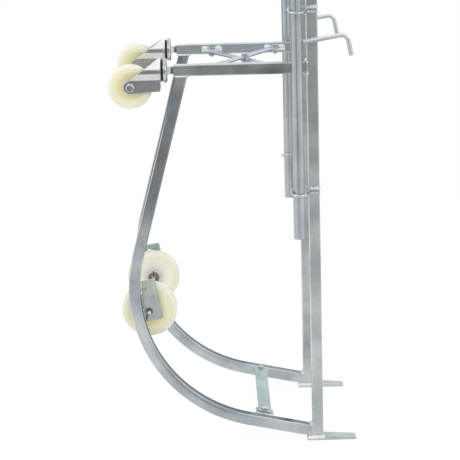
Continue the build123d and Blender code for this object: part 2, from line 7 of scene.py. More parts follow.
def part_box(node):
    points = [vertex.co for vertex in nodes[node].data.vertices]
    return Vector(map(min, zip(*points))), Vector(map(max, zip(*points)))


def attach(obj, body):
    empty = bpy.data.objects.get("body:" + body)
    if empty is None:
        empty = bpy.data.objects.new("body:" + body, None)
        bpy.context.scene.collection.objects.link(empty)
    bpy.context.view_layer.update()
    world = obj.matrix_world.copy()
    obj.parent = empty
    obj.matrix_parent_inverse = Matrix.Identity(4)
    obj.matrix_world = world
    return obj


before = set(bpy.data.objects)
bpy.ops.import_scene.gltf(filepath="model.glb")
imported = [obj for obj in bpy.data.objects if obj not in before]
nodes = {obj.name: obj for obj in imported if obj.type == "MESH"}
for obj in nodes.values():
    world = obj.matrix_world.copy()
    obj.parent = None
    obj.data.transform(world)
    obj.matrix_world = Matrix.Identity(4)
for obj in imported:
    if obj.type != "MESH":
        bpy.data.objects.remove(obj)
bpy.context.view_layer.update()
scene = bpy.context.scene
mm = 0.001
sides = {"near": 1, "far": -1}  # the far side mirrors the near one across Y = 0
print("frame loaded:", len(nodes), "nodes")


def linearFromHex(code):
    parts = [int(code[i:i + 2], 16) / 255 for i in (1, 3, 5)]
    return tuple(p / 12.92 if p <= 0.04045 else ((p + 0.055) / 1.055) ** 2.4 for p in parts) + (1.0,)


# A tuple of settings takes a tuple of values, and a node given as a source stands for its first output in use
def addNode(tree, kind, settings=None, links=None):
    node = tree.nodes.new(kind)
    for key, value in (settings or {}).items():
        pairs = zip(key, value) if isinstance(key, tuple) else [(key, value)]
        for name, amount in pairs:
            if isinstance(name, int) or name in node.inputs:
                node.inputs[name].default_value = amount
            else:
                setattr(node, name, amount)
    for key, source in (links or {}).items():
        if isinstance(source, bpy.types.Node):
            source = next(socket for socket in source.outputs if socket.enabled)
        tree.links.new(source, node.inputs[key])
    return node


fromSpan = ("From Min", "From Max")
toSpan = ("To Min", "To Max")
mixShare = 0
colourFrom, colourTo = 6, 7  # inputs of a Mix node for colours
valueFrom, valueTo = 2, 3  # inputs of a Mix node for plain numbers
randomLow, randomHigh = 2, 3  # inputs of a Random Value node for plain numbers


def newMaterial(name):
    material = bpy.data.materials.new(name)
    material.use_nodes = True
    material.node_tree.nodes.clear()
    return material, material.node_tree


# camera, matched to the photograph
viewSet = {
    "place": (-0.03305, -3.6505, 1.3333),
    "yaw": 0.0289,
    "dip": 0.2082,
    "lean": 0.0225,
    "lens": 125.8,
    "sensor": 36.0,
    "shiftX": -0.0577,
    "shiftY": -0.1018,
    "farthest": 100,
}


def addCamera(s):
    level = math.cos(s["dip"])
    ahead = Vector((math.sin(s["yaw"]) * level, math.cos(s["yaw"]) * level, -math.sin(s["dip"])))
    right = Vector((math.cos(s["yaw"]), -math.sin(s["yaw"]), 0))
    above = right.cross(ahead)
    roll = Matrix.Rotation(s["lean"], 3, "Y")
    turn = Matrix([roll @ axis for axis in (right, above, -ahead)]).transposed().to_4x4()
    data = bpy.data.cameras.new("photoCamera")
    data.lens = s["lens"]
    data.sensor_width = s["sensor"]
    data.shift_x = s["shiftX"]
    data.shift_y = s["shiftY"]
    data.clip_end = s["farthest"]
    camera = bpy.data.objects.new("photoCamera", data)
    camera.matrix_world = Matrix.Translation(s["place"]) @ turn
    scene.collection.objects.link(camera)
    scene.camera = camera


addCamera(viewSet)
print("camera set")


# Places that the welds and the painted shade follow, read from the frame's boxes on the near side
uprightLow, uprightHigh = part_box("near_upright")
barLow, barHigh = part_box("near_top_bar")
faceX, backX = uprightHigh.x, uprightLow.x
outerY, innerY = uprightLow.y, uprightHigh.y
toeTop = uprightLow.z
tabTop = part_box("brace_tabs")[1].z

rockerSet = {
    "slope": 12.2, "lean": 15.2,  # degrees
    "run": 146.5 * mm, "radius": 315 * mm, "tube": 25 * mm, "overhang": 3.7 * mm,
}
slope = math.radians(rockerSet["slope"])
lean = math.radians(rockerSet["lean"])
footRise = rockerSet["tube"] / math.cos(slope)
footMiddle = toeTop + footRise / 2
bendX = backX - rockerSet["run"] * math.cos(slope) + rockerSet["radius"] * math.sin(slope)
bendZ = footMiddle + rockerSet["run"] * math.sin(slope) + rockerSet["radius"] * math.cos(slope)
rockLeft = barLow.x + rockerSet["overhang"]
rockRight = rockLeft + rockerSet["tube"] / math.cos(lean)


def middleOf(node):
    low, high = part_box(node)
    return (low.x + high.x) / 2, (low.z + high.z) / 2


# A point on the bend, at an angle below the level through the bend's middle
def onRocker(radius, angle, y):
    turn = math.radians(angle)
    return bendX - radius * math.cos(turn), y, bendZ - radius * math.sin(turn)


# A point at a place along the foot's run, some way above the tube's middle
def alongRun(place, above, y):
    x = backX - place * math.cos(slope) + above * math.sin(slope)
    z = footMiddle + place * math.sin(slope) + above * math.cos(slope)
    return x, y, z


# Patches of tone on the plating, full within near and gone at far: heat marks, and painted shade and
# highlight
burnSet = {  # the weld's heat leaves it paler around the rocker's top
    "x": (rockLeft + rockRight) / 2, "z": barLow.z,
    "near": 16 * mm, "far": 42 * mm, "share": 0.45, "tone": "#f2f5f7",
}
handleShadeSet = {  # painted shade on the bar's side beside the handle, from its shadow and dark reflection, less on the bar's top
    "x": backX - 73 * mm, "z": barLow.z - 20 * mm,
    "near": 25 * mm, "far": 50 * mm, "share": 0.68, "tone": "#5f666a",
}
# painted bands of shade and highlight on the upright and along the rocker's bend, standing in for the
# reflections that darken and lighten the zinc there
shadeBandSet = {"near": 18 * mm, "far": 60 * mm, "share": 0.4, "tone": "#848c90"}
highlightBandSet = {**shadeBandSet, "share": 0.26, "tone": "#f2f5f7"}
uprightBands = ((100, shadeBandSet), (400, shadeBandSet), (600, highlightBandSet))  # millimetres up from the floor
bendBands = ((0, shadeBandSet), (20, highlightBandSet), (63, shadeBandSet))  # degrees round the bend


def patchAt(place, s):
    return {**s, "x": place[0], "z": place[2]}


uprightX, _ = middleOf("near_upright")
uprightPatches = [patchAt((uprightX, 0, height * mm), s) for height, s in uprightBands]
bendPatches = [patchAt(onRocker(rockerSet["radius"], angle, 0), s) for angle, s in bendBands]


# How far a point is from a place in the side view, as a level vector and its length
def reachFrom(tree, coord, x, z):
    away = addNode(tree, "ShaderNodeVectorMath", {"operation": "SUBTRACT", 1: (x, 0, z)}, {0: coord})
    level = addNode(tree, "ShaderNodeVectorMath", {"operation": "MULTIPLY", 1: (1, 0, 1)}, {0: away})
    return level, addNode(tree, "ShaderNodeVectorMath", {"operation": "LENGTH"}, {0: level})


# Painted shade round a bend, where reflections darken the tube: on the drawn-in wall between its two ridges,
# along the crease that the press leaves beside it, deepest in the lower half, and on corners of the straight
# run above
def bendShadeMask(tree, coord, s):
    normal = addNode(tree, "ShaderNodeNewGeometry").outputs["Normal"]
    outward, reach = reachFrom(tree, coord, s["x"], s["z"])
    ahead = addNode(tree, "ShaderNodeVectorMath", {"operation": "NORMALIZE"}, {0: outward})
    rise = addNode(tree, "ShaderNodeSeparateXYZ", links={0: ahead}).outputs["Z"]
    facing = addNode(tree, "ShaderNodeVectorMath", {"operation": "DOT_PRODUCT"}, {0: ahead, 1: normal})
    inside = addNode(tree, "ShaderNodeMapRange", {fromSpan: s["dentFacing"]}, {"Value": facing})
    sideways = addNode(tree, "ShaderNodeSeparateXYZ", links={0: coord}).outputs["Y"]
    across = addNode(tree, "ShaderNodeMath", {"operation": "ABSOLUTE"}, {0: sideways})
    between = addNode(tree, "ShaderNodeMath", {"operation": "COMPARE", 1: s["y"], 2: s["half"]}, {0: across})
    dent = addNode(tree, "ShaderNodeMath", {"operation": "MULTIPLY"}, {0: inside, 1: between})
    starts = addNode(tree, "ShaderNodeMapRange", {
        fromSpan: s["creaseStart"], toSpan: (s["creaseLeast"] * s["crease"], s["crease"]),
    }, {"Value": rise})
    ends = addNode(tree, "ShaderNodeMapRange", {
        fromSpan: s["creaseEnd"], toSpan: (1.0, s["creaseLeast"]),
    }, {"Value": rise})
    depth = addNode(tree, "ShaderNodeMath", {"operation": "MULTIPLY"}, {0: starts, 1: ends})
    shade = None
    for start, end, low, high in s["creaseSteps"]:
        step = addNode(tree, "ShaderNodeMapRange", {
            fromSpan: (s["radius"] + start * mm, s["radius"] + end * mm), toSpan: (low, high),
        }, {"Value": reach})
        shade = addNode(tree, "ShaderNodeMath", {"operation": "ADD"}, {0: shade, 1: step}) if shade else step
    beside = addNode(tree, "ShaderNodeMath", {"operation": "MULTIPLY"}, {0: shade, 1: depth})
    mask = addNode(tree, "ShaderNodeMath", {"operation": "MAXIMUM"}, {0: dent, 1: beside})
    for facings, rises, share in s["shadedCorners"]:
        turned = addNode(tree, "ShaderNodeMapRange", {fromSpan: facings, "To Max": share}, {"Value": facing})
        along = addNode(tree, "ShaderNodeMapRange", {fromSpan: rises}, {"Value": rise})
        dull = addNode(tree, "ShaderNodeMath", {"operation": "MULTIPLY"}, {0: turned, 1: along})
        mask = addNode(tree, "ShaderNodeMath", {"operation": "MAXIMUM"}, {0: mask, 1: dull})
    return mask


# Painted highlight on the rounded corners of a square tube that lies along the side view, but not on the
# inner ones in a bend or above it
def cornerHighlightMask(tree, coord, s):
    normal = addNode(tree, "ShaderNodeNewGeometry").outputs["Normal"]
    across = addNode(tree, "ShaderNodeSeparateXYZ", links={0: normal}).outputs["Y"]
    sideways = addNode(tree, "ShaderNodeMath", {"operation": "ABSOLUTE"}, {0: across})
    turned = addNode(tree, "ShaderNodeMapRange", {
        fromSpan: s["cornerTurn"], "To Max": s["corner"],
    }, {"Value": sideways})
    kept = addNode(tree, "ShaderNodeMapRange", {fromSpan: s["cornerEnd"]}, {"Value": sideways})
    mask = addNode(tree, "ShaderNodeMath", {"operation": "MULTIPLY"}, {0: turned, 1: kept})
    if "bend" in s:
        outward, _ = reachFrom(tree, coord, s["bend"]["x"], s["bend"]["z"])
        facing = addNode(tree, "ShaderNodeVectorMath", {"operation": "DOT_PRODUCT"}, {0: outward, 1: normal})
        outer = addNode(tree, "ShaderNodeMath", {"operation": "GREATER_THAN", 1: 0.0}, {0: facing})
        ahead = addNode(tree, "ShaderNodeVectorMath", {"operation": "NORMALIZE"}, {0: outward})
        rise = addNode(tree, "ShaderNodeSeparateXYZ", links={0: ahead}).outputs["Z"]
        foot = addNode(tree, "ShaderNodeMapRange", {fromSpan: s["bend"]["footRises"]}, {"Value": rise})
        lit = addNode(tree, "ShaderNodeMath", {"operation": "MAXIMUM"}, {0: outer, 1: foot})
        mask = addNode(tree, "ShaderNodeMath", {"operation": "MULTIPLY"}, {0: mask, 1: lit})
    return mask


# Faces that look up get a painted highlight, and faces that look back along X another tone: a pressing's bare
# cut edges, and on the hook a painted highlight on its lit side
def pressedLayers(tree, s):
    normal = addNode(tree, "ShaderNodeTexCoord").outputs["Normal"]
    axes = addNode(tree, "ShaderNodeSeparateXYZ", links={0: normal}).outputs
    upper = addNode(tree, "ShaderNodeMapRange", {
        fromSpan: s["upperTurn"], "To Max": s["share"],
    }, {"Value": axes["Z"]})
    cut = addNode(tree, "ShaderNodeMapRange", {fromSpan: s["cutTurn"]}, {"Value": axes["X"]})
    return [(upper, s["polished"]), (cut, s["cut"])]


# A painted highlight, white and not metallic, on the faces and corners of a tube that look back along X,
# above a height
def filmMask(tree, coord, s):
    normal = addNode(tree, "ShaderNodeNewGeometry").outputs["Normal"]
    turned = addNode(tree, "ShaderNodeSeparateXYZ", links={0: normal}).outputs["X"]
    back = addNode(tree, "ShaderNodeMapRange", {fromSpan: s["turn"]}, {"Value": turned})
    height = addNode(tree, "ShaderNodeSeparateXYZ", links={0: coord}).outputs["Z"]
    high = addNode(tree, "ShaderNodeMapRange", {
        fromSpan: s["heights"], "To Max": s["share"],
    }, {"Value": height})
    return addNode(tree, "ShaderNodeMath", {"operation": "MULTIPLY"}, {0: back, 1: high})


# One tone, with others laid over it in turn where their masks are
def layeredColour(tree, base, layers):
    colour = addNode(tree, "ShaderNodeRGB")
    colour.outputs[0].default_value = linearFromHex(base)
    for mask, tone in layers:
        colour = addNode(tree, "ShaderNodeMix", {
            "data_type": "RGBA", colourTo: linearFromHex(tone),
        }, {mixShare: mask, colourFrom: colour})
    return colour


# Zinc-plated steel, passivated: a soft grey mirror with drawing lines, cloudy patches, faint stains, painted
# highlights on edges and corners, and patches of tone, some of them painted light and shade
def platedSteel(name, s):
    material, tree = newMaterial(name)
    coord = addNode(tree, "ShaderNodeTexCoord").outputs["Object"]
    drawn = addNode(tree, "ShaderNodeMapping", {
        "Scale": tuple(1 / (v * mm) for v in s["lines"]),
    }, {"Vector": coord})
    lines = addNode(tree, "ShaderNodeTexNoise", {
        "Scale": 1.0, "Detail": 3.0, "Roughness": 0.6,
    }, {"Vector": drawn})
    cloud = addNode(tree, "ShaderNodeTexNoise", {
        "Scale": 1 / (s["cloud"] * mm), "Detail": 4.0,
    }, {"Vector": coord})
    stain = addNode(tree, "ShaderNodeTexNoise", {
        "Scale": 1 / (s["stain"] * mm), "Detail": 6.0, "Distortion": 0.8,
    }, {"Vector": coord})
    patch = addNode(tree, "ShaderNodeMapRange", {fromSpan: s["cloudSpan"]}, {"Value": cloud})
    mark = addNode(tree, "ShaderNodeMapRange", {
        fromSpan: s["stainSpan"], "To Max": s["stainDepth"],
    }, {"Value": stain})
    # a painted highlight on rounded edges: the rounded normal also tells where an edge is
    rounded = addNode(tree, "ShaderNodeBevel", {"samples": s["edgeSamples"], "Radius": s["edge"] * mm})
    flat = addNode(tree, "ShaderNodeNewGeometry").outputs["Normal"]
    agree = addNode(tree, "ShaderNodeVectorMath", {"operation": "DOT_PRODUCT"}, {0: rounded, 1: flat})
    onEdge = addNode(tree, "ShaderNodeMapRange", {
        fromSpan: s["edgeTurn"], "To Max": s["edgeShine"],
    }, {"Value": agree})
    layers = [(patch, s["dark"]), (mark, s["stainTone"]), (onEdge, s["edgeTone"])]
    if "corner" in s:
        # painted highlight on the tube's rounded corners
        layers.append((cornerHighlightMask(tree, coord, s), s["edgeTone"]))
    for spot in s.get("spots", ()):
        _, reach = reachFrom(tree, coord, spot["x"], spot["z"])
        near = addNode(tree, "ShaderNodeMapRange", {
            fromSpan: (spot["near"], spot["far"]), toSpan: (spot["share"], 0.0),
        }, {"Value": reach})
        layers.append((near, spot["tone"]))
    if "bloom" in s:
        drift = addNode(tree, "ShaderNodeTexNoise", {
            "Scale": 1 / (s["bloom"]["size"] * mm), "Detail": 1.0,
        }, {"Vector": coord})
        tinted = addNode(tree, "ShaderNodeMapRange", {
            fromSpan: s["bloom"]["span"], "To Max": s["bloom"]["share"],
        }, {"Value": drift})
        layers.append((tinted, s["bloom"]["tone"]))
    if "pressed" in s:
        layers += pressedLayers(tree, s["pressed"])
    if "bend" in s:
        # painted shade round the bend, in a bluish grey
        layers.append((bendShadeMask(tree, coord, s["bend"]), s["grimeAndShade"]))
    rough = addNode(tree, "ShaderNodeMapRange", {
        fromSpan: s["lineSpan"], toSpan: (s["rough"] - s["roughSpread"], s["rough"] + s["roughSpread"]),
    }, {"Value": lines})
    dull = addNode(tree, "ShaderNodeMath", {
        "operation": "MULTIPLY_ADD", 1: s["stainRough"],
    }, {0: mark, 2: rough})
    lineBump = addNode(tree, "ShaderNodeBump", {
        "Strength": s["lineBump"], "Distance": s["lineHeight"] * mm,
    }, {"Height": lines, "Normal": rounded})
    waves = addNode(tree, "ShaderNodeBump", {
        "Strength": s["waviness"], "Distance": s["waveHeight"] * mm,
    }, {"Height": cloud, "Normal": lineBump})
    looks = {"Roughness": dull, "Normal": waves}
    # a painted highlight that makes the back-looking faces white and not metallic
    if "film" in s:
        film = filmMask(tree, coord, s["film"])
        layers.append((film, s["film"]["tone"]))
        looks["Metallic"] = addNode(tree, "ShaderNodeMath", {"operation": "SUBTRACT", 0: 1.0}, {1: film})
    looks["Base Color"] = layeredColour(tree, s["light"], layers)
    shader = addNode(tree, "ShaderNodeBsdfPrincipled", {"Metallic": 1.0}, looks)
    addNode(tree, "ShaderNodeOutputMaterial", links={"Surface": shader})
    return material


zincSet = {
    "light": "#cbd0d2", "dark": "#b3b9bb", "stainTone": "#8f8f87", "edgeTone": "#f2f5f7",
    "lines": (1.4, 1.4, 40), "cloud": 60, "stain": 22, "edge": 0.8,  # millimetres
    "lineHeight": 0.2, "waveHeight": 1.5,  # millimetres
    "cloudSpan": (0.35, 0.65), "stainSpan": (0.56, 0.74), "lineSpan": (0.3, 0.7),  # of each noise
    "edgeTurn": (0.995, 0.85), "cornerTurn": (0.99, 0.88), "cornerEnd": (0.05, 0.2),  # cosines
    "stainDepth": 0.2, "stainRough": 0.25, "edgeShine": 0.6, "edgeSamples": 6,
    "rough": 0.19, "roughSpread": 0.06, "lineBump": 0.2, "waviness": 0.25,
}


# Each kind of piece changes a few of these settings
def zinc(name, **changes):
    return platedSteel("zincPlated" + name, {**zincSet, **changes})


# painted highlight on the upright's faces that look back along X, high up
filmSet = {"tone": "#f4f6f7", "turn": (-0.2, -0.5), "heights": (480 * mm, 640 * mm), "share": 0.9}
uprightZinc = zinc("Upright", rough=0.27, stainDepth=0.1, corner=0.5, spots=uprightPatches, film=filmSet)
alongX = (40, 1.4, 1.4)  # size of drawing lines that run along X, in millimetres
barZinc = zinc("Bar", lines=alongX, light="#c0c6c9", dark="#a8aeb1", corner=0.4, spots=[burnSet, handleShadeSet])
# the far bar's copy of the plating is paler: painted light where it catches more light
farBarLitZinc = zinc("FarBarLit", lines=alongX, light="#dfe5e8", dark="#cbd2d6", spots=[burnSet])
bendSet = {
    "x": bendX, "z": bendZ, "y": (outerY + innerY) / -2, "half": 9 * mm, "radius": rockerSet["radius"],
    # a facing is a face's cosine with the way out from the bend's middle, and a rise is the Z of that way
    "dentFacing": (-0.5, -0.8), "footRises": (-0.95, -0.99),
    "crease": 1.0, "creaseLeast": 0.2, "creaseStart": (-0.36, -0.62), "creaseEnd": (-0.93, -0.985),
    # from and to, in millimetres outward from the tube's middle, and the shade added between them
    "creaseSteps": ((-9.6, -7.6, 0.22, 0.86), (-7.6, -5.2, 0.0, -0.6), (-5.2, 1.0, 0.0, -0.26)),
    # facings, rises and share of painted shade: inner corners above the bend, then outer ones near its top
    "shadedCorners": (((-0.1, -0.4), (0.22, 0.34), 0.9), ((0.05, 0.3), (0.81, 0.88), 0.9)),
}
# the bluish grey below is the tone of the painted shade round the bend
bentSet = {
    "lines": (4, 1.4, 30), "light": "#c3c8cb", "dark": "#a9aeb2", "grimeAndShade": "#6a7480",
    "edge": 0.5, "edgeShine": 0.25, "rough": 0.15, "waviness": 0.12, "corner": 0.6,
}
rockerZinc = zinc("Rocker", **bentSet, bend=bendSet, spots=[burnSet, *bendPatches])
# the far rocker has less painted shade along its crease
farRockerZinc = zinc("FarRocker", **bentSet, bend={**bendSet, "crease": 0.45}, spots=[burnSet])
handleZinc = zinc("Handle", lines=(1.2, 1.2, 60), rough=0.24, light="#c7ccd0", dark="#b1b7bc")
# the strip's blue tone is a painted reflection of blue surroundings, and its passivation film shows a little
# pink
bloomSet = {"tone": "#c9b9c6", "size": 45, "span": (0.48, 0.6), "share": 0.6}
flatSet = {"lines": (3, 3, 3), "edge": 0.6, "rough": 0.36}
stripSet = {
    **flatSet, "light": "#bac6d4", "dark": "#a0afc2", "edge": 0.4, "edgeShine": 0.1, "rough": 0.24,
}
stripZinc = zinc("Strip", **stripSet, bloom=bloomSet)
# the tabs' near-white tone is painted light for their brightly lit tops
tabLitZinc = zinc("Tab", **{**flatSet, "light": "#f0f2f4", "dark": "#dadee1", "rough": 0.5})
plateZinc = zinc("Plate", **flatSet, light="#c8cccd", dark="#b0b6b7")
bracketZinc = zinc("Bracket", **{**flatSet, "lines": (3, 3, 12)}, light="#c3cac7", dark="#abb4b1")
strapZinc = zinc("Strap", **{**flatSet, "lines": (3, 12, 3)}, light="#bacccb", dark="#a2b5b4")
# the hook is painted brighter above and paler on the side that looks back, highlights where the light falls
hookFacingTones = {
    "polished": "#e3e6e9", "upperTurn": (-0.2, 0.4), "share": 1.0,
    "cut": "#d6dadd", "cutTurn": (-0.2, -0.4),
}
hookSet = {
    "lines": (6, 6, 6), "light": "#c4c9cd", "dark": "#b4bbc0",
    "rough": 0.42, "lineBump": 0.1, "waviness": 0.1,
}
hookZinc = zinc("Hook", **hookSet, pressed=hookFacingTones)
rodZinc = zinc("Rod", lines=(6, 6, 6), light="#d3d9dd", dark="#bec6cb", rough=0.2)
headSet = {
    "lines": (5, 5, 5), "light": "#ced2d5", "dark": "#babfc2",
    "rough": 0.15, "roughSpread": 0.04, "edge": 0.7,
}
headZinc = zinc("Head", **headSet)
# the fork's upper faces get a white painted reflection, and its cut edges a bare steel tone
forkFacingTones = {
    **hookFacingTones, "polished": "#fdfdfd", "upperTurn": (0.08, 0.5), "share": 0.9, "cut": "#a8a594",
}
forkZinc = zinc("Pressing", **headSet, pressed=forkFacingTones)
smallSet = {"lines": (2, 2, 2), "edge": 0.4, "stain": 10}
boltZinc = zinc("Fastener", **smallSet, light="#d9dde0", dark="#c2c8cc", rough=0.15, edgeShine=0.3)
nutX, nutZ = middleOf("near_caster_axle_nut")
nutMiddleSet = {  # the nut is darker in its middle
    "x": nutX, "z": nutZ, "near": 6.0 * mm, "far": 6.8 * mm, "share": 0.9, "tone": "#4b4e53",
}
nutSet = {**smallSet, "light": "#f4f5f6", "dark": "#e3e6e8", "rough": 0.3, "edgeShine": 0.5}
nutZinc = zinc("LockNut", **nutSet, spots=[nutMiddleSet])
moltenSet = {"lines": (1.5, 1.5, 1.5), "stain": 6, "edge": 0.3}
weldZinc = zinc("Weld", **moltenSet, light="#f0f2f3", dark="#ced3d5", stainDepth=0.4, rough=0.18)
paleWeldZinc = zinc("RoughWeld", **moltenSet, light="#f4f6f7", dark="#e2e6e8", rough=0.7)


# Cast nylon, turned: milky cream that light sinks into, another tone on the web, which on the big wheels is
# paler painted light lifting the shade in the recess, and scuffed grey on the tread
def castNylon(name, s):
    material, tree = newMaterial(name)
    coord = addNode(tree, "ShaderNodeTexCoord").outputs["Object"]
    _, reach = reachFrom(tree, coord, *s["middle"])
    inner = addNode(tree, "ShaderNodeMapRange", {
        "interpolation_type": "SMOOTHSTEP", fromSpan: (s["webIn"] * mm, (s["webIn"] + s["fade"]) * mm),
    }, {"Value": reach})
    outer = addNode(tree, "ShaderNodeMapRange", {
        "interpolation_type": "SMOOTHSTEP", fromSpan: (s["webOut"] * mm, (s["webOut"] - s["fade"]) * mm),
    }, {"Value": reach})
    ring = addNode(tree, "ShaderNodeMath", {"operation": "MULTIPLY"}, {0: inner, 1: outer})
    cloud = addNode(tree, "ShaderNodeTexNoise", {
        "Scale": 1 / (s["cloud"] * mm), "Detail": 3.0,
    }, {"Vector": coord})
    uneven = addNode(tree, "ShaderNodeMapRange", {
        fromSpan: s["noiseSpan"], toSpan: s["webShare"],
    }, {"Value": cloud})
    onWeb = addNode(tree, "ShaderNodeMath", {"operation": "MULTIPLY"}, {0: ring, 1: uneven})
    scuff = addNode(tree, "ShaderNodeTexNoise", {
        "Scale": 1 / (s["scuff"] * mm), "Detail": 6.0, "Distortion": 1.5,
    }, {"Vector": coord})
    worn = addNode(tree, "ShaderNodeMapRange", {
        fromSpan: s["scuffSpan"], "To Max": s["scuffShare"],
    }, {"Value": scuff})
    tread = addNode(tree, "ShaderNodeMapRange", {
        fromSpan: ((s["radius"] - s["tread"]) * mm, s["radius"] * mm),
    }, {"Value": reach})
    grey = addNode(tree, "ShaderNodeMath", {"operation": "MULTIPLY"}, {0: worn, 1: tread})
    # turning marks, drawn far enough apart to show
    turned = addNode(tree, "ShaderNodeMath", {
        "operation": "MULTIPLY", 1: 2 * math.pi / (s["turnPitch"] * mm),
    }, {0: reach})
    ridges = addNode(tree, "ShaderNodeMath", {"operation": "SINE"}, {0: turned})
    marks = addNode(tree, "ShaderNodeBump", {
        "Strength": s["turnBump"], "Distance": s["turnHeight"] * mm,
    }, {"Height": ridges})
    skin = addNode(tree, "ShaderNodeBump", {
        "Strength": s["scuffBump"], "Distance": s["scuffHeight"] * mm,
    }, {"Height": scuff, "Normal": marks})
    rough = addNode(tree, "ShaderNodeMapRange", {
        fromSpan: s["noiseSpan"], toSpan: s["rough"],
    }, {"Value": scuff})
    colour = layeredColour(tree, s["cream"], [(onWeb, s["webTone"]), (grey, s["scuffTone"])])
    shader = addNode(tree, "ShaderNodeBsdfPrincipled", {
        "IOR": 1.53, "Subsurface Weight": 1.0, "Subsurface Radius": s["glowTint"],
        "Subsurface Scale": s["glowDepth"] * mm,
    }, {"Base Color": colour, "Roughness": rough, "Normal": skin})
    addNode(tree, "ShaderNodeOutputMaterial", links={"Surface": shader})
    return material


nylonSet = {
    "scuffTone": "#a9a598", "glowTint": (1.0, 1.0, 0.8), "rough": (0.38, 0.52),
    "cloud": 18, "scuff": 7, "tread": 3, "turnPitch": 1.2, "glowDepth": 55,  # millimetres
    "turnHeight": 0.1, "scuffHeight": 0.4,  # millimetres
    "noiseSpan": (0.3, 0.7), "webShare": (0.55, 1.0), "scuffSpan": (0.5, 0.75), "scuffShare": 0.45,
    "turnBump": 0.08, "scuffBump": 0.12,
}
wheelSet = {**nylonSet, "middle": middleOf("near_wheel"), "radius": 62.5, "webOut": 49, "fade": 9}
# the near wheel's web is paler than its cream: painted light that lifts the shade in the recess beside the
# bracket
wheelNylon = castNylon("castNylonWheel", {
    **wheelSet, "cream": "#dfdcc9", "webTone": "#eeeacb", "webIn": 17,
})
# the far wheel's copy is paler, most of all on its web: painted light where its inner face is better lit
farWheelLitNylon = castNylon("castNylonFarWheelLit", {
    **wheelSet, "cream": "#e0ddcb", "webTone": "#f3f1e2", "webIn": 10,
})
casterNylon = castNylon("castNylonCaster", {
    **nylonSet, "cream": "#dedac6", "webTone": "#dcd8b0", "middle": middleOf("near_caster_wheel"),
    "radius": 48, "webIn": 17, "webOut": 33, "fade": 6,
})


# Sintered bushes and oiled or blackened steel: dark, greasy metal, darker where the oil has dried
def oiledSteel(name, s):
    material, tree = newMaterial(name)
    coord = addNode(tree, "ShaderNodeTexCoord").outputs["Object"]
    grimeAndShade = addNode(tree, "ShaderNodeTexNoise", {
        "Scale": 1 / (s["grimeAndShade"] * mm), "Detail": 5.0, "Distortion": 0.5,
    }, {"Vector": coord})
    dried = addNode(tree, "ShaderNodeMapRange", {fromSpan: s["driedSpan"]}, {"Value": grimeAndShade})
    rough = addNode(tree, "ShaderNodeMapRange", {
        toSpan: (s["rough"] - s["roughSpread"], s["rough"] + s["roughSpread"]),
    }, {"Value": grimeAndShade})
    pits = addNode(tree, "ShaderNodeBump", {
        "Strength": s["pitBump"], "Distance": s["pitHeight"] * mm,
    }, {"Height": grimeAndShade})
    colour = layeredColour(tree, s["steel"], [(dried, s["oil"])])
    shader = addNode(tree, "ShaderNodeBsdfPrincipled", {
        "Metallic": s["metallic"],
    }, {"Base Color": colour, "Roughness": rough, "Normal": pits})
    addNode(tree, "ShaderNodeOutputMaterial", links={"Surface": shader})
    return material


oilSet = {
    "grimeAndShade": 4, "pitHeight": 0.2,  # millimetres
    "driedSpan": (0.4, 0.65), "rough": 0.4, "roughSpread": 0.12, "pitBump": 0.2, "metallic": 1.0,
}
bushSteel = oiledSteel("sinteredBushSteel", {
    **oilSet, "steel": "#a0968a", "oil": "#746a5d", "rough": 0.45,
})
raceSteel = oiledSteel("oiledRaceSteel", {
    **oilSet, "steel": "#26262a", "oil": "#151416", "rough": 0.42, "metallic": 0.6,
})
pinSteel = oiledSteel("blackenedPinSteel", {**oilSet, "steel": "#75797d", "oil": "#4a4d50"})
plugSteel = oiledSteel("oiledPlugSteel", {**oilSet, "steel": "#8b8f92", "oil": "#5e6266"})


# Moulded polyethylene: black, slightly waxy, with a fine moulded grain
def mouldedCap(name, s):
    material, tree = newMaterial(name)
    coord = addNode(tree, "ShaderNodeTexCoord").outputs["Object"]
    grain = addNode(tree, "ShaderNodeTexNoise", {
        "Scale": 1 / (s["grain"] * mm), "Detail": 2.0,
    }, {"Vector": coord})
    dust = addNode(tree, "ShaderNodeTexNoise", {
        "Scale": 1 / (s["dust"] * mm), "Detail": 5.0,
    }, {"Vector": coord})
    rough = addNode(tree, "ShaderNodeMapRange", {toSpan: s["rough"]}, {"Value": dust})
    bump = addNode(tree, "ShaderNodeBump", {
        "Strength": s["grainBump"], "Distance": s["grainHeight"] * mm,
    }, {"Height": grain})
    colour = layeredColour(tree, s["black"], [(dust, s["dustTone"])])
    shader = addNode(tree, "ShaderNodeBsdfPrincipled", {
        "IOR": 1.51,
    }, {"Base Color": colour, "Roughness": rough, "Normal": bump})
    addNode(tree, "ShaderNodeOutputMaterial", links={"Surface": shader})
    return material


capSet = {
    "black": "#1d1d1f", "dustTone": "#323234", "rough": (0.42, 0.62), "grainBump": 0.2,
    "grain": 0.8, "grainHeight": 0.1, "dust": 9,  # millimetres
}
capPlastic = mouldedCap("mouldedPolyethylene", capSet)

